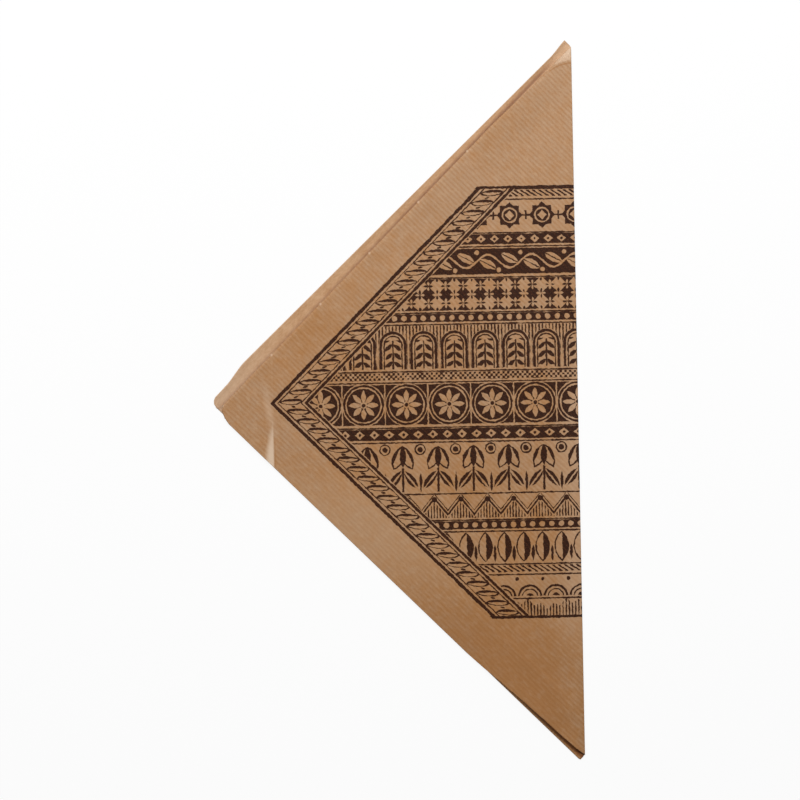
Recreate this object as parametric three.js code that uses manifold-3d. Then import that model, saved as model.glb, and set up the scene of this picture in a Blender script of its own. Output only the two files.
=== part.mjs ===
// A flat paper cone bag lying on its back. One sheet of ribbed kraft is folded once on the slant
// and glued along one side, so that it closes to a point and stays open along its mouth.
// Millimetres, +Z up. The underside lies on z = 0, with the origin under the middle of the bag.
// +Y runs along the slant fold, from the tip to the mouth.
// The sheet is shaped in seam axes first: x runs across from the glued seam to the slant fold,
// y runs along the seam from the point where seam and fold would meet, and z is height.
import * as THREE from "three";
import { mergeVertices } from "three/addons/utils/BufferGeometryUtils.js";
import Module from "manifold-3d";

// Sheet and panels
const seamLength = 190; // along the seam, from the cut tip to the mouth
const foldAngle = THREE.MathUtils.degToRad(45); // between the seam and the slant fold
const paperThickness = 0.12; // ribbed kraft of about 40 g/m2, over its ribs
const foldClearance = 0.4; // air between the two layers where they bend into a fold
const mouthLift = 1.5; // how much higher the front panel stands in the middle of the mouth

// Tip
const tipOffset = 3; // the tip is cut off this far from where seam and fold would meet
const tipRound = 0.9; // radius of the tip's corner on the seam side
const tipClosure = 3; // length at the tip that is pressed shut
const tipFrontShare = 0.4; // most of the width that the front panel's trim takes at the very tip

// Seam: a flap of the back panel is folded in, and the front panel is glued on top of it
const flapWidth = 13;
const flapRamp = 4; // over which the front panel comes down from the flap
const frontSetback = 0.5; // from the seam fold to the raw edge of the front panel
const frontSetbackAtTip = 2.6; // the front panel is trimmed slanting near the tip
const frontTrimLength = 50; // how far up the seam that trim reaches

// Mouth: the back panel ends in a lip beyond the raw edge of the front panel
const lipDepth = 5.5; // the lip's most, near the seam
const lipDepthAtFold = 2.2; // the lip's least, near the fold
const lipDepthAtCorner = 4.2; // the lip beside its rounded corner
const lipCornerRadius = 3;
const lipInset = 0.9; // from the seam fold to the lip's short side
const lipInsetLength = 2; // how far that short side reaches below the mouth
const lipStepStart = 13; // across the bag, where the lip deepens
const lipStepEnd = 22;
const lipPeak = 2.8; // height of the small point at the fold
const lipPeakRun = 9; // over which the lip flares up to that point
const lipPeakInset = 0.7; // from the fold to that point
const lipPeakSide = 0.9; // how far the point's short side reaches below the mouth
const frontCornerDrop = 4.6; // the front panel's corner at the seam is cut off slanting
const frontCornerRun = 9;
const frontFoldDrop = 0.9; // the front panel's mouth dips towards the fold
const frontFoldRun = 9;

// How finely curves are faceted
const bendFacets = 6;
const panelColumns = 12;
const lapColumns = 2;
const rampColumns = 3;
const bodyStations = 16;
const roundStations = 3;
const curveFacets = 6;

const leg = tipOffset + seamLength; // the mouth's distance along the seam
const mouthWidth = leg * Math.tan(foldAngle);
const bendRadius = paperThickness + foldClearance / 2;
const flatHeight = 2 * bendRadius; // both panels and the air between, beside a fold
const splitHeight = bendRadius * 1.1; // front and back panel are trimmed apart from here
const spare = 6; // how far blanks and cutting shapes run past what they cut

const kraft = new THREE.MeshStandardMaterial({
  name: "ribbed_kraft",
  color: 0xb48e66,
  roughness: 0.72,
  metalness: 0,
});

const { clamp, lerp, smoothstep } = THREE.MathUtils;

// Panel outline at a place along the seam
const foldAt = (along) => along * Math.tan(foldAngle);

function seamAt(along) {
  const rest = clamp(tipRound - (along - tipOffset), 0, tipRound);
  return tipRound - Math.sqrt(tipRound ** 2 - rest ** 2);
}

function frontEdgeAt(along) {
  const trim = clamp(1 - along / frontTrimLength, 0, 1);
  const setback = Math.max(1.1 * bendRadius, lerp(frontSetback, frontSetbackAtTip, trim));
  const furthest = lerp(seamAt(along), foldAt(along), tipFrontShare);
  return Math.min(seamAt(along) + setback, furthest);
}

// The front panel stands up as a shallow cone that starts at the tip
function liftAt(along, across) {
  const share = (across - seamAt(along)) / (foldAt(along) - seamAt(along));
  return mouthLift * (along / leg) * Math.sin(Math.PI * clamp(share, 0, 1));
}

// Where the top of the glued lap ends and where the front panel is down again, near the tip
// held to shares of the little width that is left
function lapAt(along) {
  const start = frontEdgeAt(along);
  const room = foldAt(along) - bendRadius - start;
  const end = start + Math.min(Math.max(seamAt(along) + flapWidth - start, 0.1 * room), 0.5 * room);
  const down = end + Math.min(flapRamp, 0.3 * room);
  return { start, end, down };
}

function spread(from, to, pieces) {
  return Array.from({ length: pieces }, (_, i) => lerp(from, to, i / pieces));
}

const arc = (x, radius, from, to) =>
  new THREE.EllipseCurve(x, bendRadius, radius, radius, from, to).getPoints(bendFacets);

// Section across the bag on its outside, counterclockwise from the underside at the fold
function outerSection(along) {
  const lap = lapAt(along);
  const foldBend = foldAt(along) - bendRadius;
  const seamBend = seamAt(along) + bendRadius;
  const columns = [
    ...spread(foldBend, lap.down, panelColumns).slice(1),
    ...spread(lap.down, lap.end, rampColumns),
    ...spread(lap.end, lap.start, lapColumns),
    lap.start,
  ];
  const top = columns.map((across) => {
    const lapShare = 1 - smoothstep(across, lap.end, lap.down);
    const height = flatHeight + liftAt(along, across) + paperThickness * lapShare;
    return new THREE.Vector2(across, height);
  });
  const flapTop = new THREE.Vector2(lap.start, flatHeight + liftAt(along, lap.start));
  return [
    ...arc(foldBend, bendRadius, -Math.PI / 2, Math.PI / 2),
    ...top,
    flapTop,
    ...arc(seamBend, bendRadius, Math.PI / 2, (3 * Math.PI) / 2),
  ];
}

// Section across the pocket between the panels, in the same order
function pocketSection(along) {
  const lap = lapAt(along);
  const foldBend = foldAt(along) - bendRadius;
  const seamBend = seamAt(along) + bendRadius;
  const columns = [
    ...spread(foldBend, lap.down, panelColumns).slice(1),
    ...spread(lap.down, lap.end, rampColumns),
    ...spread(lap.end, seamBend, lapColumns),
  ];
  const ceiling = flatHeight - paperThickness;
  const top = columns.map((across) => new THREE.Vector2(across, ceiling + liftAt(along, across)));
  const radius = foldClearance / 2;
  return [
    ...arc(foldBend, radius, -Math.PI / 2, Math.PI / 2),
    ...top,
    ...arc(seamBend, radius, Math.PI / 2, (3 * Math.PI) / 2),
  ];
}

// A closed body through sections with the same number of points, each end closed by a fan of
// triangles round the middle of its section
function loft(stations, sectionAt) {
  const sections = stations.map(sectionAt);
  const count = sections[0].length;
  const positions = sections.flatMap((section, j) =>
    section.flatMap((point) => [point.x, stations[j], point.y]),
  );
  const faces = [];
  for (let j = 0; j + 1 < sections.length; j++) {
    for (let i = 0; i < count; i++) {
      const a = j * count + i;
      const b = j * count + ((i + 1) % count);
      faces.push(a, b + count, b, a, a + count, b + count);
    }
  }
  const last = (sections.length - 1) * count;
  const firstMiddle = sections.length * count;
  for (const j of [0, sections.length - 1]) {
    const middle = new THREE.Box2().setFromPoints(sections[j]).getCenter(new THREE.Vector2());
    positions.push(middle.x, stations[j], middle.y);
  }
  for (let i = 0; i < count; i++) {
    const next = (i + 1) % count;
    faces.push(firstMiddle, i, next, firstMiddle + 1, last + next, last + i);
  }
  return new THREE.BufferGeometry()
    .setAttribute("position", new THREE.Float32BufferAttribute(positions, 3))
    .setIndex(faces);
}

// What is trimmed off the front panel, above the split between the panels
function frontWaste() {
  const outline = new THREE.Shape()
    .moveTo(-spare, leg - frontCornerDrop)
    .lineTo(0, leg - frontCornerDrop)
    .quadraticCurveTo(frontCornerRun * 0.3, leg, frontCornerRun, leg)
    .lineTo(mouthWidth - frontFoldRun, leg)
    .quadraticCurveTo(mouthWidth - frontFoldRun / 2, leg, mouthWidth, leg - frontFoldDrop)
    .lineTo(mouthWidth + 3 * spare, leg - frontFoldDrop)
    .lineTo(mouthWidth + 3 * spare, leg + 3 * spare)
    .lineTo(-spare, leg + 3 * spare);
  return prism(outline, splitHeight, flatHeight + mouthLift + spare);
}

// What is trimmed off the back panel round its lip, below the split
function backWaste() {
  const cornerTop = leg + lipDepthAtCorner;
  const roundEnd = lipInset + lipCornerRadius;
  const stepMiddle = (lipStepStart + lipStepEnd) / 2;
  const peakAcross = mouthWidth - lipPeakInset;
  const outline = new THREE.Shape()
    .moveTo(-spare, leg - lipInsetLength)
    .lineTo(lipInset, leg - lipInsetLength)
    .lineTo(lipInset, cornerTop - lipCornerRadius)
    .absarc(roundEnd, cornerTop - lipCornerRadius, lipCornerRadius, Math.PI, Math.PI / 2, true)
    .lineTo(lipStepStart, cornerTop)
    .bezierCurveTo(stepMiddle, cornerTop, stepMiddle, leg + lipDepth, lipStepEnd, leg + lipDepth)
    .lineTo(mouthWidth - lipPeakRun, leg + lipDepthAtFold)
    .quadraticCurveTo(mouthWidth - lipPeakRun / 3, leg + lipDepthAtFold, peakAcross, leg + lipPeak)
    .lineTo(peakAcross, leg - lipPeakSide)
    .lineTo(mouthWidth + 3 * spare, leg - lipPeakSide)
    .lineTo(mouthWidth + 3 * spare, leg + 3 * spare)
    .lineTo(-spare, leg + 3 * spare);
  return prism(outline, -spare, splitHeight + paperThickness / 4);
}

function prism(outline, bottom, top) {
  const settings = { depth: top - bottom, bevelEnabled: false, curveSegments: curveFacets };
  return new THREE.ExtrudeGeometry(outline, settings).translate(0, 0, bottom);
}

const wasm = await Module();
wasm.setup();

function solidOf(geometry) {
  const bare = geometry.clone();
  bare.deleteAttribute("normal");
  bare.deleteAttribute("uv");
  const merged = mergeVertices(bare, 1e-4);
  const mesh = new wasm.Mesh({
    numProp: 3,
    vertProperties: merged.attributes.position.array,
    triVerts: new Uint32Array(merged.index.array),
  });
  return new wasm.Manifold(mesh);
}

function geometryOf(solid) {
  const { vertProperties, triVerts } = solid.getMesh();
  const geometry = new THREE.BufferGeometry()
    .setAttribute("position", new THREE.BufferAttribute(vertProperties, 3))
    .setIndex(new THREE.BufferAttribute(triVerts, 1));
  geometry.computeVertexNormals();
  return geometry;
}

// The pressed tip, its round corner, and then even steps past the lip
function stationsFrom(start, end) {
  const roundEnd = tipOffset + tipRound;
  const round = spread(tipOffset, roundEnd, roundStations);
  const body = spread(roundEnd, end, bodyStations);
  return [...[...round, ...body].filter((along) => along > start), end];
}

function foldedSheet() {
  const blankEnd = leg + spare + lipDepth;
  const outside = solidOf(loft([tipOffset, ...stationsFrom(tipOffset, blankEnd)], outerSection));
  const pocketStart = tipOffset + tipClosure;
  const pocketStations = [pocketStart, ...stationsFrom(pocketStart, blankEnd + spare)];
  const pocket = solidOf(loft(pocketStations, pocketSection));
  return outside
    .subtract(pocket)
    .subtract(solidOf(frontWaste()))
    .subtract(solidOf(backWaste()));
}

const bag = new THREE.Mesh(geometryOf(foldedSheet()), kraft);
bag.name = "paper_bag";
bag.rotation.z = foldAngle;
const middle = new THREE.Box3().setFromObject(bag, true).getCenter(new THREE.Vector3());
bag.position.set(-middle.x, -middle.y, 0);

const group = new THREE.Group();
group.add(bag);

export default group;
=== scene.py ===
"""A flat paper cone bag of ribbed brown kraft, folded from one sheet and lying on its back.

The sheet is first laid out flat, in millimetres: p counts across the paper's ribs and q along them.
The slant fold lies on p = q. Past it, where q is larger, is the front panel, whose raw edges lie
along the seam, near p = 0, and along the mouth, near q = LEG. Before it is the back panel, with its
lip beyond p = LEG. Below q = 0 is the flap. folded_place() then folds each point to its place.
"""

import math

import bpy
import numpy as np
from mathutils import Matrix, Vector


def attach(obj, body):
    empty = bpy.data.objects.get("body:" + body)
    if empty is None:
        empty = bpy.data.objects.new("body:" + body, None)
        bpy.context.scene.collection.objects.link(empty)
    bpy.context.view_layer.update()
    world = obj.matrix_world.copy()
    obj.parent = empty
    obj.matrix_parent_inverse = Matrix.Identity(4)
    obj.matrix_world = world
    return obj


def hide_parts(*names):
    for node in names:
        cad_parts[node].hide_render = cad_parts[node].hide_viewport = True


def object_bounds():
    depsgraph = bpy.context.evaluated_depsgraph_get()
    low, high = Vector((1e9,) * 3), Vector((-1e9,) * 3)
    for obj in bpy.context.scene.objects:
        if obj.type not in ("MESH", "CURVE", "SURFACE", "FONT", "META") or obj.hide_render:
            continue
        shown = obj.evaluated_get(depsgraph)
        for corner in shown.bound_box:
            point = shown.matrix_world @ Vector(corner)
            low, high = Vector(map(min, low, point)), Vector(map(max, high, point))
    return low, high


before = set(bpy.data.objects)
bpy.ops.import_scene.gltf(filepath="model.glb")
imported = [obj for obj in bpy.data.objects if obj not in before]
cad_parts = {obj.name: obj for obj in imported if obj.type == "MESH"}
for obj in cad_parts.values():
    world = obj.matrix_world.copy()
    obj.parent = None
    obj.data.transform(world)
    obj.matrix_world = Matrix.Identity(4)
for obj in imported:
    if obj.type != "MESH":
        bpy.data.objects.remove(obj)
cad_low, cad_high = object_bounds()


def colour(red, green, blue):
    """A colour written as it shows on a screen, from 0 to 255, as the linear one that it stands for."""
    shares = (red / 255, green / 255, blue / 255)
    return (*[c / 12.92 if c < 0.04 else ((c + 0.055) / 1.055) ** 2.4 for c in shares], 1.0)


MM = 0.001
HALF_ROOT = math.sqrt(0.5)

# The bag in millimetres, as in the solid that it stands for
SEAM_LENGTH = 190.0
TIP_OFFSET = 3.0
LEG = TIP_OFFSET + SEAM_LENGTH
TIP_ROUND = 0.9
TIP_ROUND_REACH = 2.0
PAPER = 0.1
BEND = 0.27
BEND_RUN = BEND / HALF_ROOT

# Where the seam and the slant fold would meet, a little past the tip, in millimetres of the frame
MEETING = np.array([cad_high[0] / MM, cad_low[1] / MM - (TIP_OFFSET + TIP_ROUND) * HALF_ROOT, 0.0])

# Mouth
LIP_DEPTH = 5.5
LIP_DEPTH_AT_FOLD = 1.9
LIP_DEPTH_AT_CORNER = 4.2
LIP_CORNER_RADIUS = 3.2
LIP_INSET = 1.15
LIP_STEP = (9.0, 21.0)
LIP_PEAK = 2.5
LIP_PEAK_RUN = 8.0
LEAST_LIP = 0.1
FRONT_CORNER_DROP = 6.5
FRONT_CORNER_RUN = 1.2
FOLD_END = 192.1
FOLD_DROP_START = 148.0
FOLD_DROP_END = 174.0
TIE_PITCH = 26.6
TIE_FIRST = 3.4
TIE_HEIGHT = 0.3
TIE_WIDTH = 0.5

# Seam and flap: the fold lies a little inside the front panel's raw edge. Near the tip that edge
# runs inwards, by so much across at so far along.
SEAM_PLACE = 0.5
SEAM_END = 189.3
SEAM_END_RUN = 1.5
FLAP_WIDTH = 13.0
FLAP_TIP_SHARE = 0.6
FRONT_EDGE_ACROSS = (0.0, 0.4, 1.2, 2.0, 2.4, 2.6, 3.1)
FRONT_EDGE_ALONG = (62.0, 52.0, 42.0, 27.0, 14.0, 9.4, 3.4)

# How the panels stand up from the table
BASE = 0.075
MOUTH_LIFT = 1.3
LEAST_ALONG = 1.0
TIP_GAP = 1.9
TIP_GAP_LENGTH = (18.0, 60.0)
LAP_STEP = 0.16
LAP_RAMP = 3.0
LIP_CURL = 0.35
LIP_CURL_WAVE = (0.5, 0.07, 1.0)
MOUTH_GAP = 1.1
MOUTH_GAP_PLACE = 158.0
MOUTH_GAP_WIDTH = 36.0
MOUTH_GAP_DEPTH = 14.0
MOUTH_GAP_HOLD = 0.05

# Slack waves: height, waves to the millimetre in x and in y, and phase
WAVES = (
    (0.13, 0.031, 0.012, 0.4),
    (0.1, -0.014, 0.038, 1.9),
    (0.07, 0.052, 0.044, 3.1),
    (0.05, -0.067, 0.021, 5.0),
    (0.03, 0.024, -0.093, 2.3),
)

# Creases pressed into the front panel, from the point where seam and slant fold would meet
CREASE_X = (-118.2, -114.95)
CREASE_Y = (117.0, 139.5)
CREASE_LIFT = 0.35
CORNER_CREASE = ((-6.75, 264.7), (0.1, 266.7))
CORNER_TILT = 0.12

# The paper's ribs, and how finely the sheet is divided
RIB_PITCH = 1.48
RIB_HEIGHT = 0.006
RIB_SHARE_INSIDE = 0.35
COLUMN_STEP = RIB_PITCH / 4
ROW_STEP = 3.6
FINE_ROWS = ((0.9, 5.0, 0.7), (13.0, 22.0, 1.8), (160.0, 184.0, 2.0), (184.0, 192.3, 1.0))
LIP_COLUMNS = 12
BEND_ROWS = 5
ROW_MARGIN = 0.15
LEAST_STRETCH = 0.05
SAME_ROW = 1e-6
RANGE_END = 0.01

# The camera, from places measured on the photograph's 800 by 800 pixels
PIXELS = 800
PIXELS_PER_MM = 2.65
MEETING_PIXEL = (585.1, 766.5)
FOLD_LEAN = math.radians(1.13)
LENS = 100.0
SENSOR = 36.0

# The map that holds each place's p and q for the materials, divided by its unit
SHEET_MAP = "SheetLayout"
SHEET_UNIT = 200.0

# Colours of the paper and its print
KRAFT_WARM = colour(179, 131, 86)
KRAFT_GREY = colour(182, 146, 113)
KRAFT_STRIPE = colour(160, 108, 62)
KRAFT_PALE = colour(203, 168, 134)
# The palest kraft: painted glints on the pressed facets, painted light on the slant fold's side, the
# torn ties' nicks and the lip's pale ends
KRAFT_PALEST = colour(226, 200, 174)
# The inside's kraft, paler than the outside: partly the unglazed side's own colour, partly painted
# light that the lip's single sheet lets through from the pale floor
KRAFT_INSIDE = colour(204, 162, 122)
KRAFT_EDGE = colour(186, 144, 102)
# Painted shade, for the gaps beside the front panel's raised raw edges
KRAFT_SHADE = colour(112, 58, 26)
INK = colour(34, 9, 3)
INK_THIN = colour(78, 38, 18)

# Noises: how fine across the ribs and along them, to the millimetre, then detail and roughness
CLOUDS = (0.24, 0.24, 3.0, 0.6)
PATCHES = (0.035, 0.035, 2.0, 0.5)
DASHES = (1.2 / RIB_PITCH, 0.3, 2.0, 0.6)
FIBRES = (3.0, 0.9, 3.0, 0.65)
GRAIN = (2.86, 1.04, 4.0, 0.65)
FINE_GRAIN = (5.0, 5.0, 2.0, 0.6)
CLOUDS_INSIDE = (0.2, 0.2, 3.0, 0.55)
FIBRES_INSIDE = (1.6, 0.7, 3.0, 0.65)
CUT_GRAIN = (4.0, 4.0, 2.0, 0.6)
INK_WAVER = (0.9, 0.9, 2.0, 0.5)
INK_SPREAD = (0.35, 0.35, 2.0, 0.5)
INK_MOTTLE = (2.2, 2.2, 3.0, 0.6)

# The glazed outside: what turns the warm kraft grey, what stripes it and what makes it pale
CLOUD_GREY = 1.5
PATCH_GREY = 1.2
# The drift is a painted sheen: the kraft greys towards the top, where the lamps' reflection whitens it
SHEEN_DRIFT_GREY = 0.0022
START_GREY = 0.08
VALLEY_STRIPE = 0.4
FIBRE_STRIPE = 0.9
DASH_PALE = 1.1

# The unprinted inside: what turns its pale kraft warm
CLOUD_WARM = 1.2
FIBRE_WARM = 1.4
VALLEY_WARM = 0.1
START_WARM = 0.35

# Gloss and fine relief of the paper
GLAZED_ROUGHNESS = 0.5
GLAZED_SPECULAR = 0.12
INK_ROUGHER = 0.08
WEAR_SMOOTHER = 0.12
INSIDE_ROUGHNESS = 0.62
CUT_ROUGHNESS = 0.85
BUMP_OUTSIDE = 0.5
BUMP_INSIDE = 0.4
BUMP_DISTANCE = 0.00008
GRAIN_SHARE = 0.6

# Painted glints, with a little crease whitening: each pair is where something starts and ends, in
# millimetres.
# First the change from back to front, then the streak pressed into the left corner, painted pale where
# it catches the light, with the paler haze past its top.
PAST_FOLD = (0.0, 0.5)
STREAK_LEFT = (-0.8, 1.6)
STREAK_RIGHT = (-0.5, 0.3)
STREAK_THINNING = 0.6
STREAK_PALE = 0.9
HAZE_LEAN = 0.16
HAZE_SET_BACK = 2.0
HAZE_HALF_WIDTH = (0.2, 2.4)
HAZE_TOP = (-4.0, 12.0)
HAZE_PALE = 0.3

# The bent top corner's painted glint, and the painted light on the side of the slant fold that faces
# the lamps
CORNER_EDGE = (-0.2, 0.5)
CORNER_DEPTH = (0.3, 4.0)
CORNER_EDGE_PALE = 0.55
CORNER_PALE = 0.65
FOLD_LIGHT_ACROSS = (-13.0, 0.0)
FOLD_LIGHT_START = (30.0, 75.0)
FOLD_LIGHT_END = (125.0, 190.0)
FOLD_PAINTED_LIGHT = 0.22

# The dark hairlines by the top corner's crease and by the streak
CORNER_LINE_DROP = 0.75
CORNER_LINE_MIDDLE = -3.4
CORNER_LINE_BEND = 0.045
CORNER_LINE_START = (-9.5, -8.0)
CORNER_LINE_HALF_WIDTH = (0.05, 0.55)
CORNER_LINE_DARK = 0.6
STREAK_LINE_OFFSET = 0.35
STREAK_LINE_HALF_WIDTH = (0.0, 0.6)
STREAK_LINE_DARK = 0.35

# The torn ties' pale nicks
NICK_HALF_WIDTH = (0.15, 0.7)
NICK_DEPTH = (-0.7, -0.4)
NICK_PALE = 0.4

# The painted slow shade and light along the seam, placed by p and by p + q, and the painted shade on
# the flap by the tip
BY_SEAM = (8.0, 46.0)
BY_SEAM_PAST_FOLD = (0.0, 20.0)
SEAM_DARK_END = (60.0, 105.0)
SEAM_PAINTED_SHADE = 0.4
SEAM_PALE_START = (85.0, 120.0)
SEAM_PALE_END = (135.0, 175.0)
SEAM_PAINTED_LIGHT = 0.3
UNDER_TIP_ACROSS = (0.2, 1.5)
UNDER_TIP_ALONG = (30.0, 50.0)
TIP_PAINTED_SHADE = 0.75

# The lip's pale ends, and the painted shade on it beside the front panel's edge
LIP_LEFT_END = (0.0, 45.0)
LIP_LEFT_PALE = 0.3
LIP_RIGHT_END = (FOLD_END - 14.0, FOLD_END - 4.0)
LIP_RIGHT_PALE = 0.12
LIP_SHADE_INNER = (-0.6, 0.0)
LIP_SHADE_OUTER = (0.2, 1.7)
LIP_SHADE_GROWTH = (30.0, 150.0)
LIP_SHADE_END = (FOLD_END - 18.0, FOLD_END - 4.0)
LIP_SHADE_LEFT = 0.25
LIP_SHADE_GAIN = 0.35

# How the ink lies on the paper: its soft edge and how far it wavers and spreads, in millimetres,
# and how thin and broken it is
INK_EDGE = 0.16
INK_WAVER_REACH = 0.5
INK_WAVER_SHIFT = 57.0
INK_SPREAD_REACH = 0.5
THIN_MOTTLE = 1.6
THIN_VALLEY = 0.35
INK_COVER = 0.97
SPECK_START = 0.12
SPECK_BARE = 1.2

# The printed ornament, in millimetres, with its leaf border
MARGIN_SEAM = 17.0
MARGIN_MOUTH = 180.0
PRINT_BOTTOM = 57.0
PRINT_TOP = 219.0
LINE = 0.52
HEAVY = 1.05
RULE = 0.55
FRIEZE_GAP = 0.35
FIELD_GAP = 0.9
BORDER = 9.0
BORDER_FILL = 0.72
BORDER_OUTER_LINE = 1.5
BORDER_INNER_LINE = 1.3
BORDER_DOT = 0.6
SPRIG_PITCH = 5.2
SPRIG_SIZE = (2.9, 1.5)
SPRIG_SET_IN = 0.2

# The floor and the light, in metres and watts. A lamp has a name, a place, an aim, a size and a power.
FLOOR_SIZE = 3.0
FLOOR_DROP = 0.00005
FLOOR_WHITE = 0.93
FLOOR_GLOW = 0.9
LAMPS = (
    ("key_softbox", (0.1, 0.44, 0.6), (0.0, 0.07, 0.0), (0.4, 0.25), 3.15),
    ("right_softbox", (0.62, 0.34, 0.5), (0.0, 0.07, 0.0), (0.3, 0.45), 1.65),
    ("left_softbox", (-0.5, 0.36, 0.45), (-0.07, 0.02, 0.0), (0.4, 0.4), 2.4),
)
WORLD_LIGHT = 0.13


def smooth(value, start, end):
    """0 before start, 1 past end, and a smooth rise between them."""
    share = np.clip((value - start) / (end - start), 0.0, 1.0)
    return share * share * (3 - 2 * share)


def lip_depth(q):
    """How far the back panel stands out beyond the mouth, at q across the bag."""
    taper = np.interp(q, [LIP_STEP[1], FOLD_END - LIP_PEAK_RUN], [LIP_DEPTH, LIP_DEPTH_AT_FOLD])
    depth = LIP_DEPTH_AT_CORNER + (taper - LIP_DEPTH_AT_CORNER) * smooth(q, *LIP_STEP)
    flare = smooth(q, FOLD_END - LIP_PEAK_RUN, FOLD_END)
    depth = depth + (LIP_PEAK - LIP_DEPTH_AT_FOLD) * flare
    corner = np.clip(LIP_CORNER_RADIUS + LIP_INSET - q, 0, LIP_CORNER_RADIUS)
    return depth - LIP_CORNER_RADIUS + np.sqrt(LIP_CORNER_RADIUS**2 - corner**2)


def front_mouth(p):
    """q of the front panel's raw edge at the mouth, with the torn ties of its perforation."""
    corner = math.exp(-p / FRONT_CORNER_RUN)
    dip = smooth(p, FOLD_DROP_START, FOLD_DROP_END)
    from_tie = (p - TIE_FIRST + TIE_PITCH / 2) % TIE_PITCH - TIE_PITCH / 2
    tie = TIE_HEIGHT * math.exp(-((from_tie / TIE_WIDTH) ** 2))
    return float(LEG - FRONT_CORNER_DROP * corner + (FOLD_END - LEG) * dip + tie * (1 - dip))


def front_start(p):
    """q where the front panel begins in a column: at its raw edge or at the slant fold."""
    return max(p + BEND_RUN, float(np.interp(p, FRONT_EDGE_ACROSS, FRONT_EDGE_ALONG)))


def flap_edge(p):
    """q of the flap's free edge, which is cut slanting at the tip and at the mouth."""
    return SEAM_PLACE - min(FLAP_WIDTH, FLAP_TIP_SHARE * p, LEG - p)


def row_places():
    """Every q at which the columns share a row."""
    rows = set(np.arange(-4 * ROW_STEP, LEG, ROW_STEP).round(3))
    for start, end, step in FINE_ROWS:
        rows = {row for row in rows if not start - 0.5 * step < row < end + 0.5 * step}
        rows |= set(np.arange(start, end + RANGE_END, step).round(3))
    return sorted(rows)


ROWS = row_places()


def rows_between(start, end):
    """The two ends, and the shared rows that lie well between them."""
    inner = [row for row in ROWS if start + ROW_MARGIN < row < end - ROW_MARGIN]
    return [start, *inner, end]


def column_spans(p):
    """The stretches of one column: flap, seam bend, back panel, slant bend and front panel."""
    spans = {}
    end = front_mouth(p)
    if p >= TIP_OFFSET:
        back_start = SEAM_PLACE + BEND
        if p > SEAM_END:
            share = float(smooth(p, SEAM_END, SEAM_END + SEAM_END_RUN))
            back_start += (LIP_INSET - back_start) * share
        else:
            spans["seam"] = list(SEAM_PLACE + np.linspace(-BEND, BEND, BEND_ROWS))
            spans["flap"] = rows_between(flap_edge(p), SEAM_PLACE - BEND)
        back_end = min(p - BEND_RUN, FOLD_END)
        if back_end > back_start + LEAST_STRETCH:
            spans["back"] = rows_between(back_start, back_end)
        if end > back_end + LEAST_STRETCH:
            spans["slant"] = list(np.linspace(back_end, min(p + BEND_RUN, end), BEND_ROWS))
    start = front_start(p)
    if end > start + LEAST_STRETCH:
        spans["front"] = rows_between(start, end)
    return spans


def seam_round(p):
    """How far the seam fold draws in at the round corner of the tip."""
    rest = np.clip(TIP_ROUND - (p - TIP_OFFSET), 0, TIP_ROUND)
    return TIP_ROUND - np.sqrt(TIP_ROUND**2 - rest**2)


def waves(x, y):
    """The slack paper's soft waves."""
    return sum(
        height * np.sin(2 * math.pi * (along_x * x + along_y * y) + phase)
        for height, along_x, along_y, phase in WAVES
    )


def past_corner_crease(x, y):
    """How far a place lies above the crease that bends the top corner."""
    (x0, y0), (x1, y1) = CORNER_CREASE
    return y - y0 - (x - x0) * ((y1 - y0) / (x1 - x0))


def front_rise(along, across, x, y):
    """How high the front panel stands over its level beside the folds."""
    share = np.clip(across / np.maximum(along, LEAST_ALONG), 0, 1)
    room = 4 * share * (1 - share)
    rise = MOUTH_LIFT * along / LEG * np.sin(math.pi * share) + waves(x, y) * room
    lap_end = np.minimum(FLAP_WIDTH, FLAP_TIP_SHARE * along)
    rise += LAP_STEP * (1 - smooth(across, lap_end, lap_end + LAP_RAMP))
    tip = 1 - smooth(along, *TIP_GAP_LENGTH)
    rise += TIP_GAP * tip * (1 - share)
    from_gap = (across - MOUTH_GAP_PLACE) / MOUTH_GAP_WIDTH
    mouth = smooth(along, LEG - MOUTH_GAP_DEPTH, LEG)
    rise += MOUTH_GAP * np.exp(-(from_gap**2)) * mouth * smooth(1 - share, 0, MOUTH_GAP_HOLD)
    crease = smooth(CREASE_Y[1] - y, 0, CREASE_Y[1] - CREASE_Y[0])
    rise += CREASE_LIFT * crease * (1 - smooth(x, *CREASE_X))
    return rise - CORNER_TILT * np.maximum(past_corner_crease(x, y), 0)


def folded_place(p, q):
    """Where a point of the sheet lies, in millimetres from where seam and slant fold would meet."""
    past_slant = (q - p) * HALF_ROOT
    slant_turn = np.clip(past_slant / BEND, -1, 1) * math.pi / 2
    past_seam = q - SEAM_PLACE
    seam_turn = np.clip(past_seam / BEND, -1, 1) * math.pi / 2
    round_seam = BEND - BEND * np.cos(seam_turn)
    behind = SEAM_PLACE + np.where(np.abs(past_seam) < BEND, round_seam, np.abs(past_seam))
    behind = behind + seam_round(p) * np.clip(1 - behind / TIP_ROUND_REACH, 0, 1)
    front = past_slant > 0
    along = np.where(front, q, p)
    across = np.where(front, p, behind)
    in_bend = np.abs(past_slant) < BEND
    x = np.where(in_bend, BEND * (np.cos(slant_turn) - 1), (across - along) * HALF_ROOT)
    y = np.where(in_bend, (p + q) * HALF_ROOT, (across + along) * HALF_ROOT)
    front_share = (1 + np.sin(slant_turn)) / 2
    seam_share = np.where(front, 0, (1 - np.sin(seam_turn)) / 2)
    z = BASE + 2 * BEND * (front_share + seam_share)
    z += front_share * front_rise(along, across, x, y)
    past_mouth = np.clip((p - LEG) / np.maximum(lip_depth(q), LEAST_LIP), 0, 1)
    share, pace, phase = LIP_CURL_WAVE
    z += np.where(front, 0, LIP_CURL * past_mouth**2 * (1 + share * np.sin(q * pace + phase)))
    return np.stack([x, y, z], axis=-1)


def rib(p):
    """How far the paper's outside stands out over its ribs."""
    return RIB_HEIGHT * np.cos(2 * math.pi * p / RIB_PITCH)


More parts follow.
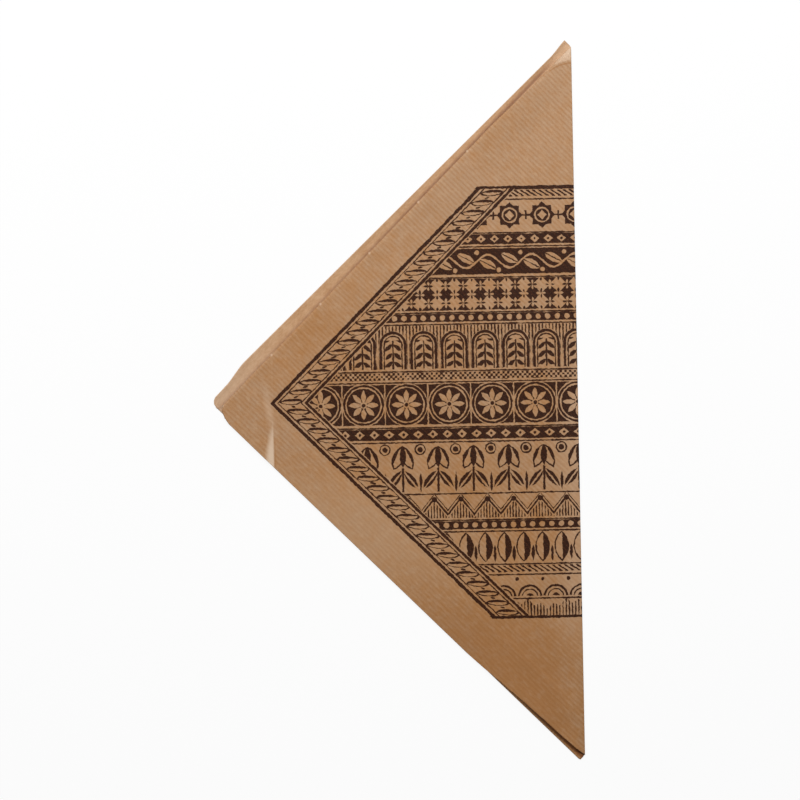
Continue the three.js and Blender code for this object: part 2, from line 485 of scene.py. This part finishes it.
def zip_columns(left, right, faces):
    """Joins two neighbouring runs of (q, point), with quads where they match and else triangles."""
    i = j = 0
    same_bend = len(left) == len(right) == BEND_ROWS
    while i < len(left) - 1 or j < len(right) - 1:
        can_left = i < len(left) - 1
        can_right = j < len(right) - 1
        both_last = i == len(left) - 2 and j == len(right) - 2
        if can_left and can_right:
            gap = left[i + 1][0] - right[j + 1][0]
            if abs(gap) < SAME_ROW or both_last or same_bend:
                faces.append((left[i][1], right[j][1], right[j + 1][1], left[i + 1][1]))
                i += 1
                j += 1
                continue
            can_left = gap < 0
        if can_left:
            faces.append((left[i][1], right[j][1], left[i + 1][1]))
            i += 1
        else:
            faces.append((left[i][1], right[j][1], right[j + 1][1]))
            j += 1


def lay_out_sheet():
    """The flat sheet's points (p, q) and faces, column by column, and then the lip's columns."""
    points = []
    faces = []

    def column(spans):
        known = {}
        runs = {}
        for name, places in spans.items():
            run = []
            for p, q in places:
                key = round(q, 4)
                if key not in known:
                    known[key] = len(points)
                    points.append((p, q))
                run.append((q, known[key]))
            runs[name] = run
        return runs

    before = {}
    for p in [0.0, *np.arange(LEG % COLUMN_STEP, LEG + RANGE_END, COLUMN_STEP)]:
        spans = {name: [(p, q) for q in run] for name, run in column_spans(p).items()}
        now = column(spans)
        for name in now:
            if name in before:
                zip_columns(before[name], now[name], faces)
        before = now
    mouth_line = before["back"]
    previous = mouth_line
    for k in range(1, LIP_COLUMNS + 1):
        out = [(LEG + k / LIP_COLUMNS * float(lip_depth(q)), q) for q, _ in mouth_line]
        now = column({"lip": out})["lip"]
        zip_columns(previous, now, faces)
        previous = now
    return np.array(points), faces


def corner_normals(places, faces):
    """Each point's normal, from the faces round it."""
    normals = np.zeros_like(places)
    for size in (3, 4):
        ring = np.array([face for face in faces if len(face) == size])
        a, b, c = places[ring[:, 0]], places[ring[:, 1]], places[ring[:, -1]]
        across = np.cross(b - a, c - a) if size == 3 else np.cross(places[ring[:, 2]] - a, c - b)
        for corner in range(size):
            np.add.at(normals, ring[:, corner], across)
    return normals / np.linalg.norm(normals, axis=1, keepdims=True)


def rim_edges(faces):
    """The sheet's open edges, each in its face's direction."""
    seen = {}
    for face in faces:
        for a, b in zip(face, face[1:] + face[:1]):
            seen[a, b] = (a, b)
    return [edge for edge in seen if edge[::-1] not in seen]


def make_bag(materials):
    """The folded sheet as a thin closed shell: printed outside, plain inside and cut edges."""
    flat, faces = lay_out_sheet()
    places = folded_place(flat[:, 0], flat[:, 1])
    normals = corner_normals(places, faces)
    relief = rib(flat[:, 0])[:, None]
    outside = places + normals * (PAPER / 2 + relief)
    inside = places - normals * (PAPER / 2 - RIB_SHARE_INSIDE * relief)
    count = len(flat)
    back = [tuple(count + v for v in reversed(face)) for face in faces]
    rim = [(b, a, count + a, count + b) for a, b in rim_edges(faces)]
    mesh = bpy.data.meshes.new("folded_sheet")
    points = (np.vstack([outside, inside]) + MEETING) * MM
    mesh.from_pydata(points.tolist(), [], faces + back + rim)
    for material in materials:
        mesh.materials.append(material)
    kinds = np.repeat([0, 1, 2], [len(faces), len(back), len(rim)]).astype(np.int32)
    mesh.polygons.foreach_set("material_index", kinds)
    mesh.polygons.foreach_set("use_smooth", kinds < 2)
    vertex = np.empty(len(mesh.loops), dtype=np.int32)
    mesh.loops.foreach_get("vertex_index", vertex)
    layout = np.vstack([flat, flat])[vertex] / SHEET_UNIT
    mesh.uv_layers.new(name=SHEET_MAP).data.foreach_set("uv", layout.astype(np.float32).ravel())
    mesh.update()
    mesh.validate()
    bag = bpy.data.objects.new("folded_sheet", mesh)
    bpy.context.collection.objects.link(bag)
    print("folded_sheet", len(faces), "faces a side,", len(mesh.vertices), "points")
    return bag


class Value:
    """A number that varies over the paper. Python's operators on it add Math nodes."""

    def __init__(self, paint, socket):
        self.paint = paint
        self.socket = socket

    def math(self, operation, *others):
        """Adds a Math node that takes this value and the others."""
        values = [other.socket if isinstance(other, Value) else other for other in others]
        sockets = dict(enumerate([self.socket, *values]))
        return self.paint.value("Math", {"operation": operation}, sockets)

    def __add__(self, other):
        return self.math("ADD", other)

    def __sub__(self, other):
        return self.math("SUBTRACT", other)

    def __rsub__(self, other):
        return (self * -1.0) + other

    def __mul__(self, other):
        return self.math("MULTIPLY", other)

    def __abs__(self):
        return self.math("ABSOLUTE")

    __radd__ = __add__
    __rmul__ = __mul__

    def __neg__(self):
        return self * -1.0

    def sin(self):
        return self.math("SINE")

    def cos(self):
        return self.math("COSINE")

    def low(self, other):
        return self.math("MINIMUM", other)

    def high(self, other):
        return self.math("MAXIMUM", other)

    def clip(self):
        """The value, held between 0 and 1."""
        settings = {"operation": "ADD", "use_clamp": True}
        return self.paint.value("Math", settings, {0: self.socket, 1: 0.0})

    def length(self, other):
        """The distance from the origin of a point whose coordinates are the two values."""
        place = self.paint.place(self, other)
        return self.paint.value("VectorMath", {"operation": "LENGTH"}, {0: place}, "Value")

    def angle(self, other):
        return self.math("ARCTAN2", other)

    def wrap(self, pitch):
        """The distance to the nearest multiple of pitch, with its sign."""
        return self.math("WRAP", pitch / 2, -pitch / 2)

    def fade(self, start, end):
        """1 up to start, 0 past end, and smooth between."""
        return 1.0 - self.rise(start, end)

    def rise(self, start, end):
        """0 up to start, 1 past end, and smooth between."""
        settings = {"interpolation_type": "SMOOTHSTEP"}
        sockets = {"Value": self.socket, "From Min": start, "From Max": end}
        return self.paint.value("MapRange", settings, sockets)


class Paint:
    """A material's node tree, with one method that adds any node."""

    def __init__(self, name):
        self.material = bpy.data.materials.new(name)
        self.material.use_nodes = True
        self.tree = self.material.node_tree
        self.tree.nodes.clear()

    def node(self, kind, settings=None, sockets=None):
        """Adds a node, sets its settings, and gives its sockets their values or links."""
        node = self.tree.nodes.new("ShaderNode" + kind)
        for name, setting in (settings or {}).items():
            setattr(node, name, setting)
        for name, given in (sockets or {}).items():
            given = given.socket if isinstance(given, Value) else given
            if isinstance(given, bpy.types.NodeSocket):
                self.tree.links.new(given, node.inputs[name])
            else:
                node.inputs[name].default_value = given
        return node

    def value(self, kind, settings=None, sockets=None, output=0):
        """Adds a node and gives one of its outputs as a Value."""
        return Value(self, self.node(kind, settings, sockets).outputs[output])

    def mix(self, share, first, second):
        """A colour between two colours."""
        settings = {"data_type": "RGBA"}
        node = self.node("Mix", settings, {"Factor": share, 6: first, 7: second})
        return node.outputs[2]

    def noise(self, p, q, look):
        """One of the noises listed at the top, on both sides of 0."""
        across, along, detail, roughness = look
        sockets = {"Vector": self.place(p * across, q * along), "Scale": 1.0}
        sockets |= {"Detail": detail, "Roughness": roughness}
        return self.value("TexNoise", {"noise_dimensions": "2D"}, sockets) - 0.5

    def place(self, x, y):
        """A vector from two values."""
        return self.node("CombineXYZ", {}, {"X": x, "Y": y}).outputs[0]

    def surface(self, sockets):
        """Ends the tree in a shader and gives the material."""
        shader = self.node("BsdfPrincipled", {}, sockets)
        self.node("OutputMaterial", {}, {"Surface": shader.outputs[0]})
        return self.material


def sheet_axes(paint):
    """p and q in millimetres."""
    layout = paint.node("UVMap", {"uv_map": SHEET_MAP})
    split = paint.node("SeparateXYZ", {}, {0: layout.outputs[0]})
    p = Value(paint, split.outputs[0]) * SHEET_UNIT
    q = Value(paint, split.outputs[1]) * SHEET_UNIT
    return p, q


def box(x, y, half_width, half_height):
    """Distance to a rectangle's edge, less than zero inside, as with every shape below."""
    return (abs(x) - half_width).high(abs(y) - half_height)


def line(distance, width):
    """A stroke along the place where the distance is 0."""
    return abs(distance) - width / 2


def turned(x, y, degrees):
    """The coordinates in axes that are turned by an angle."""
    c, s = math.cos(math.radians(degrees)), math.sin(math.radians(degrees))
    return x * c + y * s, y * c - x * s


def leaf(x, y, half_length, half_width):
    """A pointed leaf along y."""
    radius = (half_length**2 + half_width**2) / (2 * half_width)
    return (abs(x) + (radius - half_width)).length(y) - radius


def veined_leaf(x, y, half_length, half_width):
    """A leaf with an outline and one dark half."""
    edge = leaf(x, y, half_length, half_width)
    outline = line(edge, LINE)
    dark_half = edge.high(0.25 - x)
    return outline.low(dark_half)


def petals(x, y, count, reach, half_length, half_width):
    """A ring of leaves round the origin."""
    turn = math.tau / count
    angle = y.angle(x).wrap(turn)
    radius = x.length(y)
    return leaf(radius * angle.sin(), radius * angle.cos() - reach, half_length, half_width)


# The motifs: x runs along a frieze and y up from its middle.
# Their parts are shares of the frieze's height, or in millimetres.
def rope(x, y, height):
    """The slanting strands of a twisted cord."""
    strand = (x + y * 0.9 + (y * (math.tau / height)).sin() * 0.5).wrap(2.3)
    return line(strand, 1.15).high(abs(y) - height * 0.36)


def beads(x, y, height):
    """A dark band with light beads."""
    bead = x.wrap(height * 0.95).length(y) - height * 0.27
    return (abs(y) - height * 0.42).high(-bead)


def light_diamonds(x, y, height):
    """A dark band with light diamonds, each with a dark dot."""
    along = x.wrap(height * 1.1)
    diamond = abs(along) * 0.8 + abs(y) - height * 0.31
    dot = along.length(y) - height * 0.1
    return (abs(y) - height * 0.45).high(-diamond).low(dot)


def scallops(x, y, height):
    """Arches in pairs, one in the other, round a dark core on the base, with dots between them."""
    foot = y + height * 0.5
    along = x.wrap(height * 1.15)
    radius = along.length(foot)
    arcs = line(radius - height * 0.5, HEAVY * 0.8).low(line(radius - height * 0.34, LINE))
    core = radius - height * 0.17
    dot = (x + height * 0.575).wrap(height * 1.15).length(y - height * 0.3) - 0.7
    return arcs.low(core).low(dot)


def leaf_row(x, y, height):
    """Upright leaves side by side, with narrow buds between them."""
    along = x.wrap(height * 0.6)
    between = (x + height * 0.3).wrap(height * 0.6)
    stroke = leaf(between, y + height * 0.2, height * 0.26, 0.6)
    return veined_leaf(along, y, height * 0.45, height * 0.21).low(stroke)


def zigzag(x, y, height):
    """A double zigzag line, dots above it and hatching below."""
    pitch = height * 1.05
    fold = abs(x.wrap(pitch)) - pitch / 4
    slope = y - fold * (height * 1.3 / pitch)
    lines = line(slope, HEAVY).low(line(slope - 1.6, LINE))
    dot = (x + pitch / 2).wrap(pitch).length(y - height * 0.28) - 1.0
    hatch = line(x.wrap(1.1), LINE).high(slope + 1.3)
    return lines.low(dot).low(hatch)


def tulips(x, y, height):
    """Tulips on stems, each with two leaves, and ringed buds between them."""
    pitch = height * 0.7
    along = x.wrap(pitch)
    side = abs(along)
    cup = y - height * 0.2
    outer_x, outer_y = turned(side - height * 0.085, cup, 24)
    outer = leaf(outer_x, outer_y, height * 0.24, height * 0.1)
    bloom = line(outer, LINE * 1.2).low(outer.high(0.9 - outer_x))
    heart = leaf(along, cup - 0.3, height * 0.22, height * 0.065)
    stem = box(along, y + height * 0.25, 0.42, height * 0.25)
    leaf_x, leaf_y = turned(side - height * 0.16, y + height * 0.24, 38)
    blade = leaf(leaf_x, leaf_y, height * 0.23, height * 0.08)
    vein = blade.high(0.3 - abs(leaf_x + 0.15))
    between = (x + pitch / 2).wrap(pitch)
    radius = between.length(y - height * 0.36)
    bud = (radius - height * 0.055).low(line(radius - height * 0.1, LINE))
    reed = leaf(between, y + height * 0.3, height * 0.2, 0.55)
    return bloom.low(heart).low(stem).low(vein).low(bud).low(reed)


def roundels(x, y, height):
    """Dark discs with light rosettes, ringed, with dark corners between them."""
    pitch = height * 0.98
    along = x.wrap(pitch)
    radius = along.length(y)
    ring = line(radius - height * 0.44, HEAVY * 0.8)
    flower = petals(along, y, 8, height * 0.2, height * 0.14, height * 0.056)
    disc = (radius - height * 0.385).high(-flower)
    eye = radius - height * 0.045
    light_eye = height * 0.075 - radius
    corner = box(along, y, pitch * 0.485, height * 0.46).high(height * 0.49 - radius)
    return ring.low(disc.high(light_eye)).low(eye).low(corner)


def arcade(x, y, height):
    """Arches on posts with a hatched field above them and a sprig in each."""
    pitch = height * 0.68
    along = x.wrap(pitch)
    spring = y - height * 0.06
    round_top = along.length(spring.high(0.0))
    arch = line(round_top - pitch * 0.4, HEAVY)
    inner = line(round_top - pitch * 0.29, LINE)
    field = line(x.wrap(pitch / 9), 0.56).high(pitch * 0.46 - round_top)
    sprig_x, sprig_y = turned(abs(along) - 1.7, y.wrap(height * 0.19), 48)
    sprig = leaf(sprig_x, sprig_y, 1.95, 0.8).high(abs(y + height * 0.13) - height * 0.3)
    stem = box(along, y + height * 0.16, 0.32, height * 0.31)
    return arch.low(inner).low(field).low(sprig).low(stem)


def checks(x, y, height):
    """Small squares, every other one dark."""
    return every_other(x, y, height / 4)


def every_other(x, y, side):
    """A field of squares of one side length, every other one dark."""
    across = abs(x.wrap(side * 2)) - side / 2
    up = abs(y.wrap(side * 2)) - side / 2
    return across.high(up).low((-across).high(-up))


def lattice(x, y, height):
    """Standing squares, every other one dark, with a four-part flower in each."""
    side = height * 0.37
    rising = (x + y) * HALF_ROOT
    falling = (x - y) * HALF_ROOT
    cells = every_other(rising + side / 2, falling + side / 2, side)
    half = side / HALF_ROOT
    near = petals(x.wrap(half), y.wrap(half), 4, 1.0, 0.85, 0.42)
    other = petals((x + half / 2).wrap(half), (y + half / 2).wrap(half), 4, 1.0, 0.85, 0.42)
    flower = near.low(other)
    return cells.high(-flower).low((-cells).high(flower))


def vine(x, y, height):
    """A light wavy stem with leaves and berries on a dark ground."""
    pitch = height * 1.5
    stem = line(y - (x * (math.tau / pitch)).cos() * (height * 0.22), HEAVY * 0.8)
    upper_x, upper_y = turned(x.wrap(pitch), y + height * 0.1, 62)
    lower_x, lower_y = turned((x + pitch / 2).wrap(pitch), y - height * 0.1, 62)
    upper = leaf(upper_x, upper_y, height * 0.34, height * 0.14).high(0.22 - abs(upper_x))
    lower = leaf(lower_x, lower_y, height * 0.34, height * 0.14).high(0.22 - abs(lower_x))
    berry = (x + pitch / 4).wrap(pitch).length(y - height * 0.3) - 0.85
    other = (x - pitch / 4).wrap(pitch).length(y + height * 0.3) - 0.85
    light = stem.low(upper).low(lower).low(berry).low(other)
    return (abs(y) - height * 0.44).high(-light)


def stars(x, y, height):
    """Eight-pointed stars with a cross between each two."""
    pitch = height * 1.02
    along = x.wrap(pitch)
    upright = abs(along) + abs(y) - height * 0.42
    square = box(along, y, height * 0.3, height * 0.3)
    inner = abs(along) + abs(y) - height * 0.15
    ring = line(along.length(y) - height * 0.22, LINE)
    star = upright.low(square).high(-ring).high(-inner)
    between = (x + pitch / 2).wrap(pitch)
    cross = box(between, y, 0.35, height * 0.14).low(box(between, y, height * 0.14, 0.35))
    return star.low(cross)


def hatching(x, y, height):
    """Upright strokes of uneven length."""
    reach = y + (x * 0.37).sin() * (height * 0.14) + (x * 1.31).sin() * (height * 0.12)
    return line(x.wrap(1.2), LINE).high(reach - height * 0.2)


# The friezes from the bottom up: what each shows and its height in millimetres
FRIEZES = (
    (hatching, 7.0),
    (scallops, 8.5),
    (rope, 3.4),
    (leaf_row, 12.0),
    (beads, 3.8),
    (zigzag, 9.5),
    (tulips, 19.0),
    (light_diamonds, 5.0),
    (roundels, 16.5),
    (checks, 3.6),
    (arcade, 17.0),
    (beads, 3.8),
    (lattice, 12.5),
    (vine, 11.0),
    (light_diamonds, 4.6),
    (stars, 12.0),
    (rope, 3.4),
)


def folded_axes(p, q):
    """Across and up the folded bag, in millimetres, from where seam and slant fold would meet."""
    return (p - q) * HALF_ROOT, (p + q) * HALF_ROOT


def stacked_friezes(x, y):
    """The friezes over one another, with a rule on top of each."""
    shapes = None
    bottom = PRINT_BOTTOM
    for motif, height in FRIEZES:
        from_middle = y - (bottom + height / 2)
        shape = motif(x, from_middle, height).high(abs(from_middle) - (height / 2 - FRIEZE_GAP))
        shapes = shape if shapes is None else shapes.low(shape)
        bottom += height
        shapes = shapes.low(line(y - bottom, RULE))
        bottom += RULE
    return shapes


def leaf_border(run, depth):
    """Leaves and dots between two lines outside and one inside. depth counts in from its edge."""
    trail = depth - BORDER / 2 - SPRIG_SET_IN
    sprig = veined_leaf(run.wrap(SPRIG_PITCH), trail, *SPRIG_SIZE)
    dot = (run + SPRIG_PITCH / 2).wrap(SPRIG_PITCH).length(trail) - BORDER_DOT
    leaves = sprig.low(dot).high(abs(trail) - BORDER * BORDER_FILL / 2)
    outer_lines = line(depth, HEAVY * 1.2).low(line(depth - BORDER_OUTER_LINE, LINE * 0.8))
    inner_line = line(depth - BORDER + BORDER_INNER_LINE, LINE * 0.8)
    return leaves.low(outer_lines).low(inner_line)


def ornament(p, q):
    """Distance to the nearest printed shape. The print runs on over the slant fold to the back."""
    across = p.low(q)
    along = p.high(q)
    x, y = folded_axes(p, q)
    depth = (across - MARGIN_SEAM).low(MARGIN_MOUTH - along)
    height = (y - PRINT_BOTTOM).low(PRINT_TOP - y)
    inner_frame = line(depth - BORDER, HEAVY)
    field = stacked_friezes(x, y).high(BORDER + FIELD_GAP - depth).low(inner_frame)
    border = leaf_border(across + along, depth)
    ends = line(height, HEAVY)
    return field.low(border).low(ends).high(-height - HEAVY / 2).high(-depth - HEAVY)


def valley(p):
    """1 between two ribs and 0 on top of each."""
    return (p * (math.tau / RIB_PITCH)).cos() * -0.5 + 0.5


def kraft_colour(paint, p, q):
    """Cloudy kraft with a painted sheen that greys it away from the tip, and with fibres and stripes
    along its ribs.
    """
    clouds = paint.noise(p, q, CLOUDS) * CLOUD_GREY + paint.noise(p, q, PATCHES) * PATCH_GREY
    grey = clouds + (p + q) * SHEEN_DRIFT_GREY + START_GREY
    base = paint.mix(grey.clip(), KRAFT_WARM, KRAFT_GREY)
    stripes = valley(p) * VALLEY_STRIPE + paint.noise(p, q, FIBRES) * FIBRE_STRIPE
    striped = paint.mix(stripes.clip(), base, KRAFT_STRIPE)
    dashes = paint.noise(p, q, DASHES) * DASH_PALE
    return paint.mix(dashes.clip(), striped, KRAFT_PALE)


def on_front(p, q):
    """1 on the front panel and 0 on the back."""
    return (q - p).rise(*PAST_FOLD)


def streak_glint(x, y):
    """The painted glint on the streak pressed into the left corner: how pale it is, with the paler haze
    past its top.
    """
    left, right = CREASE_X
    bottom, top = CREASE_Y
    up = y.rise(bottom, top)
    left_edge = up * (right - left) + left
    facet = (x - left_edge).rise(*STREAK_LEFT) * (x - right).fade(*STREAK_RIGHT)
    above = y - top
    beside = x - right + HAZE_SET_BACK
    haze = abs(above * HAZE_LEAN + beside).fade(*HAZE_HALF_WIDTH) * above.fade(*HAZE_TOP)
    return (facet * (1.0 - up * STREAK_THINNING)).high(haze * up * HAZE_PALE)


def crease_glint_and_wear(p, q):
    """How pale the front is painted: glints on its two pressed facets, with a little crease whitening,
    and light on the side of the slant fold that faces the lamps.
    """
    x, y = folded_axes(p, q)
    past = past_corner_crease(x, y)
    corner = past.rise(*CORNER_EDGE) * CORNER_EDGE_PALE
    corner = corner + past.rise(*CORNER_DEPTH) * (1 - CORNER_EDGE_PALE)
    # Painted light on the side of the slant fold that faces the lamps
    fold_light = x.rise(*FOLD_LIGHT_ACROSS) * y.rise(*FOLD_LIGHT_START) * y.fade(*FOLD_LIGHT_END)
    pressed = (streak_glint(x, y) * STREAK_PALE).high(corner * CORNER_PALE)
    return pressed.high(fold_light * FOLD_PAINTED_LIGHT) * on_front(p, q)


def crease_lines(p, q):
    """The dark hairlines where the top corner was bent, and along the inner side of the streak."""
    x, y = folded_axes(p, q)
    from_middle = x - CORNER_LINE_MIDDLE
    below = past_corner_crease(x, y) + CORNER_LINE_DROP + from_middle * from_middle * CORNER_LINE_BEND
    corner = abs(below).fade(*CORNER_LINE_HALF_WIDTH) * x.rise(*CORNER_LINE_START)
    beside = x - CREASE_X[1] - STREAK_LINE_OFFSET
    streak = abs(beside).fade(*STREAK_LINE_HALF_WIDTH) * y.fade(*CREASE_Y)
    return (corner * CORNER_LINE_DARK).high(streak * STREAK_LINE_DARK) * on_front(p, q)


def tie_nicks(p, q):
    """The torn ties along the front panel's raw edge at the mouth."""
    nick = abs((p - TIE_FIRST).wrap(TIE_PITCH)).fade(*NICK_HALF_WIDTH)
    return nick * (q - LEG).rise(*NICK_DEPTH) * p.fade(FOLD_DROP_START, FOLD_DROP_END)


def kraft_marks_and_painted_light(paint, p, q, glint_and_wear):
    """The outside's paper, with its painted glints, crease lines and torn ties, the painted slow shade
    and light by the seam, and the painted shade by the tip.
    """
    base = paint.mix(glint_and_wear, kraft_colour(paint, p, q), KRAFT_PALEST)
    base = paint.mix(crease_lines(p, q), base, KRAFT_STRIPE)
    # Painted slow shade and light along the seam: darker near the tip, paler further up, as the panel's
    # slopes take the light
    by_seam = p.fade(*BY_SEAM) * (q - p).rise(*BY_SEAM_PAST_FOLD)
    up = p + q
    base = paint.mix(by_seam * up.fade(*SEAM_DARK_END) * SEAM_PAINTED_SHADE, base, KRAFT_STRIPE)
    seam_light = by_seam * up.rise(*SEAM_PALE_START) * up.fade(*SEAM_PALE_END)
    base = paint.mix(seam_light * SEAM_PAINTED_LIGHT, base, KRAFT_PALE)
    # Painted shade on the flap by the tip, in the gap under the front panel's lifted raw edge
    under_tip = (SEAM_PLACE - q).rise(*UNDER_TIP_ACROSS) * p.fade(*UNDER_TIP_ALONG)
    base = paint.mix(under_tip * TIP_PAINTED_SHADE, base, KRAFT_SHADE)
    return paint.mix(tie_nicks(p, q) * NICK_PALE, base, KRAFT_PALEST)


def kraft_bump(paint, p, q, strength):
    """The paper's fine grain, which runs along its ribs."""
    grain = paint.noise(p, q, GRAIN) * GRAIN_SHARE
    height = grain + paint.noise(p, q, FINE_GRAIN) * (1 - GRAIN_SHARE)
    sockets = {"Strength": strength, "Distance": BUMP_DISTANCE, "Height": height}
    return paint.node("Bump", {}, sockets).outputs[0]


def printed_kraft():
    """The outside: machine-glazed kraft with the dark print, whose ink is thinner between the ribs."""
    paint = Paint("printed_kraft")
    p, q = sheet_axes(paint)
    # Painted glints on the pressed facets and painted light on the slant fold's side, where the paper
    # is also smoother
    glint_and_wear = crease_glint_and_wear(p, q)
    paper = kraft_marks_and_painted_light(paint, p, q, glint_and_wear)
    print_p = p + paint.noise(p, q, INK_WAVER) * INK_WAVER_REACH
    print_q = q + paint.noise(p + INK_WAVER_SHIFT, q, INK_WAVER) * INK_WAVER_REACH
    spread = paint.noise(p, q, INK_SPREAD) * INK_SPREAD_REACH
    ink = ((ornament(print_p, print_q) - spread) * (-1 / INK_EDGE) + 0.5).clip()
    mottle = paint.noise(p, q, INK_MOTTLE)
    thin = mottle * THIN_MOTTLE + valley(p) * THIN_VALLEY
    cover = ink * (INK_COVER - (mottle - SPECK_START).clip() * SPECK_BARE)
    ink_colour = paint.mix(thin.clip(), INK, INK_THIN)
    return paint.surface(
        {
            "Base Color": paint.mix(cover.clip(), paper, ink_colour),
            "Roughness": ink * INK_ROUGHER + GLAZED_ROUGHNESS - glint_and_wear * WEAR_SMOOTHER,
            "Specular IOR Level": GLAZED_SPECULAR,
            "Normal": kraft_bump(paint, p, q, BUMP_OUTSIDE),
        }
    )


def plain_kraft():
    """The inside: matt kraft, paler at the lip's two ends, with painted shade beside the front panel's
    edge.
    """
    paint = Paint("plain_kraft")
    p, q = sheet_axes(paint)
    clouds = paint.noise(p, q, CLOUDS_INSIDE) * CLOUD_WARM
    fibres = paint.noise(p, q, FIBRES_INSIDE) * FIBRE_WARM
    warm = clouds + fibres + valley(p) * VALLEY_WARM + START_WARM
    base = paint.mix(warm.clip(), KRAFT_INSIDE, KRAFT_WARM)
    ends = (q.fade(*LIP_LEFT_END) * LIP_LEFT_PALE).high(q.rise(*LIP_RIGHT_END) * LIP_RIGHT_PALE)
    base = paint.mix(ends, base, KRAFT_PALEST)
    # Painted shade on the lip beside the front panel's lifted raw edge
    past_mouth = p - LEG
    shade = past_mouth.fade(*LIP_SHADE_OUTER) * past_mouth.rise(*LIP_SHADE_INNER)
    shade = shade * (q.rise(*LIP_SHADE_GROWTH) * LIP_SHADE_GAIN + LIP_SHADE_LEFT)
    base = paint.mix(shade * q.fade(*LIP_SHADE_END), base, KRAFT_SHADE)
    bump = kraft_bump(paint, p, q, BUMP_INSIDE)
    return paint.surface({"Base Color": base, "Roughness": INSIDE_ROUGHNESS, "Normal": bump})


def cut_kraft():
    """The sheet's cut edge: open fibres."""
    paint = Paint("cut_kraft")
    p, q = sheet_axes(paint)
    grain = paint.noise(p, q, CUT_GRAIN) + 0.5
    base = paint.mix(grain, KRAFT_INSIDE, KRAFT_EDGE)
    return paint.surface({"Base Color": base, "Roughness": CUT_ROUGHNESS})


def make_floor():
    """A plain pale floor that shows nearly white to the camera and keeps the bag's soft shadow."""
    mesh = bpy.data.meshes.new("floor")
    half = FLOOR_SIZE / 2
    corners = [(-half, -half, 0), (half, -half, 0), (half, half, 0), (-half, half, 0)]
    mesh.from_pydata(corners, [], [(0, 1, 2, 3)])
    floor = bpy.data.objects.new("floor", mesh)
    floor.location.z = -FLOOR_DROP
    bpy.context.collection.objects.link(floor)
    paint = Paint("pale_floor")
    ray = paint.node("LightPath")
    seen = Value(paint, ray.outputs["Is Camera Ray"])
    matt = paint.node("BsdfDiffuse", {}, {"Color": (FLOOR_WHITE, FLOOR_WHITE, FLOOR_WHITE, 1)})
    white = paint.node("Emission", {}, {"Color": (1, 1, 1, 1), "Strength": 1.0})
    shaders = {0: seen * FLOOR_GLOW, 1: matt.outputs[0], 2: white.outputs[0]}
    both = paint.node("MixShader", {}, shaders)
    paint.node("OutputMaterial", {}, {"Surface": both.outputs[0]})
    mesh.materials.append(paint.material)


def make_lamp(name, place, aim, size, watts):
    """A softbox that faces what it aims at."""
    lamp = bpy.data.lights.new(name, "AREA")
    lamp.shape = "RECTANGLE"
    lamp.size, lamp.size_y = size
    lamp.energy = watts
    holder = bpy.data.objects.new(name, lamp)
    holder.location = place
    direction = Vector(aim) - Vector(place)
    holder.rotation_euler = direction.to_track_quat("-Z", "Y").to_euler()
    bpy.context.collection.objects.link(holder)


def make_lights():
    """The key light past the mouth, a softbox on each side, and a faint even light from all round."""
    for lamp in LAMPS:
        make_lamp(*lamp)
    world = bpy.data.worlds.new("studio")
    bpy.context.scene.world = world
    world.use_nodes = True
    background = world.node_tree.nodes["Background"]
    background.inputs["Color"].default_value = (1, 1, 1, 1)
    background.inputs["Strength"].default_value = WORLD_LIGHT


def make_camera():
    """Straight above the bag, turned so that the slant fold leans as in the photograph."""
    camera = bpy.data.cameras.new("camera")
    camera.lens = LENS
    camera.sensor_width = SENSOR
    holder = bpy.data.objects.new("camera", camera)
    right = (PIXELS / 2 - MEETING_PIXEL[0]) / PIXELS_PER_MM
    up = (MEETING_PIXEL[1] - PIXELS / 2) / PIXELS_PER_MM
    c, s = math.cos(FOLD_LEAN), math.sin(FOLD_LEAN)
    x = MEETING[0] + right * c + up * s
    y = MEETING[1] + up * c - right * s
    distance = LENS / SENSOR * PIXELS / PIXELS_PER_MM
    holder.location = (x * MM, y * MM, distance * MM)
    holder.rotation_euler = (0, 0, -FOLD_LEAN)
    bpy.context.collection.objects.link(holder)
    bpy.context.scene.camera = holder


bag = make_bag([printed_kraft(), plain_kraft(), cut_kraft()])
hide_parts("paper_bag")
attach(bag, "root")
make_floor()
make_lights()
make_camera()
bpy.context.scene.view_settings.view_transform = "Standard"
